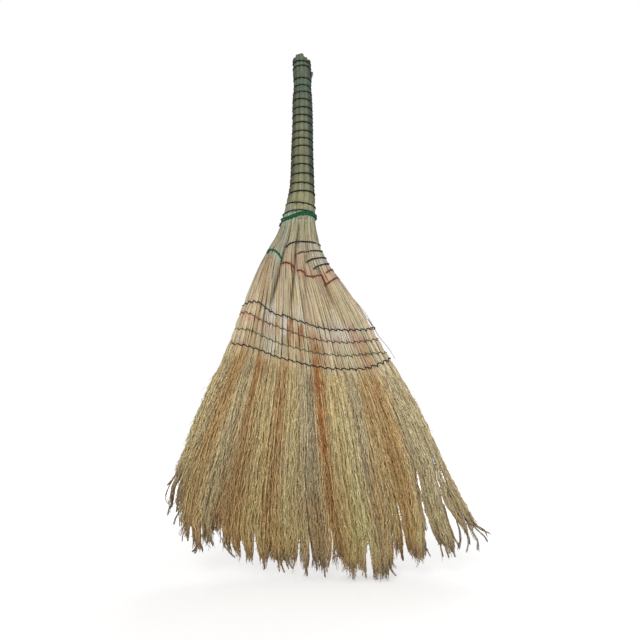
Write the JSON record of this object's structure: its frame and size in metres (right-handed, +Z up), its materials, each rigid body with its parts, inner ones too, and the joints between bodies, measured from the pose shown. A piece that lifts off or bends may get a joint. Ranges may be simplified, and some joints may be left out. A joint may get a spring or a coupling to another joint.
{
  "type": "short-handled broom",
  "caption": "Short-handled broom: stalks bound with twine as a round handle, over a wide, flat, sewn fan of natural brush.",
  "frame": {"origin": "centre of the bounding box, at the height of the brush's flat cut tips", "axes": "+Z up from the brush to the handle's end, +X across the fan towards its longer side, front face towards -Y"},
  "size_m": [0.4398, 0.0496, 0.8],
  "materials": {
    "handle_stalks": "dry, matt, grey-green stalk with fine lengthwise grain",
    "stems": "dry pale straw with a faint sheen",
    "brush": "dry, fuzzy, brown and grey-green fibre with rust streaks",
    "winding_twine": "dark olive twisted twine",
    "collar_twine": "bright green twisted twine",
    "shoulder_twine": "dark slate twisted twine",
    "red_thread": "rust red thread",
    "navy_thread": "navy thread",
    "green_thread": "dark green thread"
  },
  "bodies": {
    "root": {"stalk_01": "handle_stalks", "stalk_02": "handle_stalks", "stalk_03": "handle_stalks", "stalk_04": "handle_stalks", "stalk_05": "handle_stalks", "stalk_06": "handle_stalks", "stalk_07": "handle_stalks", "stalk_08": "handle_stalks", "stalk_09": "handle_stalks", "stalk_10": "handle_stalks", "stalk_11": "handle_stalks", "stalk_12": "handle_stalks", "stalk_13": "handle_stalks", "stalk_14": "handle_stalks", "stalk_15": "handle_stalks", "stalk_16": "handle_stalks", "stalk_17": "handle_stalks", "stalk_18": "handle_stalks", "stalk_19": "handle_stalks", "bunch_1": "stems", "fringe_1": "brush", "bunch_2": "stems", "fringe_2": "brush", "bunch_3": "stems", "fringe_3": "brush", "bunch_4": "stems", "fringe_4": "brush", "bunch_5": "stems", "fringe_5": "brush", "bunch_6": "stems", "fringe_6": "brush", "bunch_7": "stems", "fringe_7": "brush", "bunch_8": "stems", "fringe_8": "brush", "bunch_9": "stems", "fringe_9": "brush", "bunch_10": "stems", "fringe_10": "brush", "handle_winding": "winding_twine", "neck_collar": "collar_twine", "shoulder_wrap_1": "shoulder_twine", "shoulder_wrap_2": "shoulder_twine", "shoulder_wrap_3": "shoulder_twine", "shoulder_wrap_4": "shoulder_twine", "shoulder_wrap_5": "shoulder_twine", "shoulder_wrap_6": "shoulder_twine", "left_bunch_tie": "collar_twine", "red_neck_row": "red_thread", "sewn_row_1": "navy_thread", "sewn_row_2": "red_thread", "sewn_row_3": "green_thread", "sewn_row_4": "navy_thread"}
  },
  "joints": []
}
